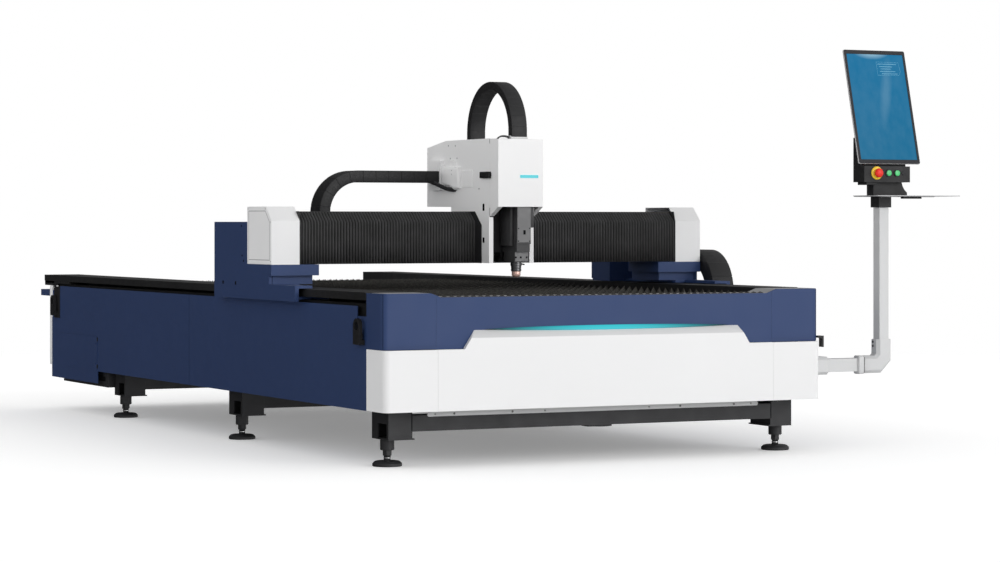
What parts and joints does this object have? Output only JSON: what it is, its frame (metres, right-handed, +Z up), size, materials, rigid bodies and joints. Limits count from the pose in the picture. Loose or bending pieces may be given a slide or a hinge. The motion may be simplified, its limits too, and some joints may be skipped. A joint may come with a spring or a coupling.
{
  "type": "fiber laser cutting machine",
  "caption": "Flatbed fiber laser cutting machine: slat table on a levelled bed, travelling gantry with bellows and cable chains, cutting head with nozzle, and a swivelling operator panel.",
  "frame": {"origin": "middle of the overall box on the floor", "axes": "+X to the operator's right along the front, +Y from the front to the rear, +Z up"},
  "size_m": [2.933, 4.81, 1.8388],
  "materials": {
    "blue_paint": "satin powder coat",
    "white_paint": "satin powder coat",
    "black_paint": "fine matt powder coat",
    "dark_paint": "matt enamel",
    "grey_paint": "satin enamel",
    "bare_steel": "ground",
    "slat_steel": "hot rolled plate",
    "motor_black": "matt",
    "chain_black": "moulded",
    "bellows_black": "coated cloth",
    "copper": "turned copper",
    "light_teal": "clear diffuser",
    "screen_blue": "lit display",
    "stop_yellow": "moulded",
    "stop_red": "moulded",
    "button_green": "moulded"
  },
  "bodies": {
    "bed": {"side_beams": "blue_paint", "cross_beams": "dark_paint", "foot_brackets": "dark_paint", "levelling_feet": "dark_paint", "side_panels": "blue_paint", "access_cover": "blue_paint", "rear_panel": "white_paint", "front_panel_upper": "blue_paint", "front_panel_lower": "white_paint", "front_corners_upper": "blue_paint", "front_corners_lower": "white_paint", "deck_plates": "grey_paint", "front_led": "light_teal", "front_skirt": "grey_paint", "rail_covers": "black_paint", "y_rails": "bare_steel", "slat_combs": "black_paint", "slats": "slat_steel", "slag_trays": "dark_paint", "lifting_eyes": "black_paint", "y_chain_tray": "dark_paint", "y_chain": "chain_black", "arm_castings": "grey_paint", "arm_tubes": "grey_paint"},
    "gantry": {"gantry_beam": "blue_paint", "end_caps": "white_paint", "gantry_brackets": "blue_paint", "y_motors": "motor_black", "y_guide_blocks": "bare_steel", "x_rails": "bare_steel", "x_chain_tray": "dark_paint", "x_chain": "chain_black", "bellows_left": "bellows_black", "bellows_right": "bellows_black"},
    "y_pinion_left_body": {"y_pinion_left": "bare_steel"},
    "y_pinion_right_body": {"y_pinion_right": "bare_steel"},
    "carriage": {"carriage_plate": "dark_paint", "carriage_cover": "white_paint", "x_guide_blocks": "bare_steel", "axis_motors": "motor_black", "z_rails": "bare_steel", "z_chain": "chain_black"},
    "x_pinion_body": {"x_pinion": "bare_steel"},
    "z_screw_body": {"z_screw": "bare_steel"},
    "z_head": {"z_cover": "white_paint", "z_led": "light_teal", "laser_head": "dark_paint", "nozzle_holder": "bare_steel", "nozzle": "copper", "z_slide": "bare_steel"},
    "pendant": {"pendant_neck": "black_paint", "control_box": "black_paint", "monitor_frame": "black_paint", "screen": "screen_blue", "keyboard_shelf": "grey_paint", "estop_ring": "stop_yellow"},
    "estop": {"estop_button": "stop_red"},
    "button_left_body": {"button_left": "button_green"},
    "button_right_body": {"button_right": "button_green"}
  },
  "joints": [
    {"name": "y_travel", "type": "slide", "parent": "bed", "child": "gantry", "axis": [0, 1, 0], "range_m": [-0.66, 2.34], "deforming": ["y_chain"]},
    {"name": "x_travel", "type": "slide", "parent": "gantry", "child": "carriage", "axis": [1, 0, 0], "range_m": [-0.74, 0.76], "deforming": ["x_chain", "bellows_left", "bellows_right"]},
    {"name": "z_travel", "type": "slide", "parent": "carriage", "child": "z_head", "axis": [0, 0, 1], "range_m": [-0.055, 0.045], "deforming": ["z_chain"]},
    {"name": "y_pinion_left_turn", "type": "hinge", "parent": "gantry", "child": "y_pinion_left_body", "pos_m": [-1.4309, -0.58, 0.69], "axis": [0, 0, 1], "continuous": true},
    {"name": "y_pinion_right_turn", "type": "hinge", "parent": "gantry", "child": "y_pinion_right_body", "pos_m": [0.7579, -0.58, 0.69], "axis": [0, 0, 1], "continuous": true},
    {"name": "x_pinion_turn", "type": "hinge", "parent": "carriage", "child": "x_pinion_body", "pos_m": [-0.3105, -0.8536, 1.047], "axis": [0, 0, 1], "continuous": true},
    {"name": "z_screw_turn", "type": "hinge", "parent": "carriage", "child": "z_screw_body", "pos_m": [-0.3105, -1.211, 1], "axis": [0, 0, 1], "continuous": true},
    {"name": "pendant_swivel", "type": "hinge", "parent": "bed", "child": "pendant", "pos_m": [1.1325, -2.245, 1.109], "axis": [0, 0, 1], "range_deg": [-90, 90]},
    {"name": "estop_press", "type": "slide", "parent": "pendant", "child": "estop", "axis": [0, 1, 0], "range_m": [0, 0.005]},
    {"name": "button_left_press", "type": "slide", "parent": "pendant", "child": "button_left_body", "axis": [0, 1, 0], "range_m": [0, 0.004], "stiffness_N_per_m": 300},
    {"name": "button_right_press", "type": "slide", "parent": "pendant", "child": "button_right_body", "axis": [0, 1, 0], "range_m": [0, 0.004], "stiffness_N_per_m": 300}
  ],
  "couplings": [
    {"joint": "y_pinion_right_turn", "follows": "y_travel", "rad_per_m": 31.056},
    {"joint": "y_pinion_left_turn", "follows": "y_travel", "rad_per_m": -31.056},
    {"joint": "x_pinion_turn", "follows": "x_travel", "rad_per_m": 41.322},
    {"joint": "z_screw_turn", "follows": "z_travel", "rad_per_m": 628.32}
  ]
}
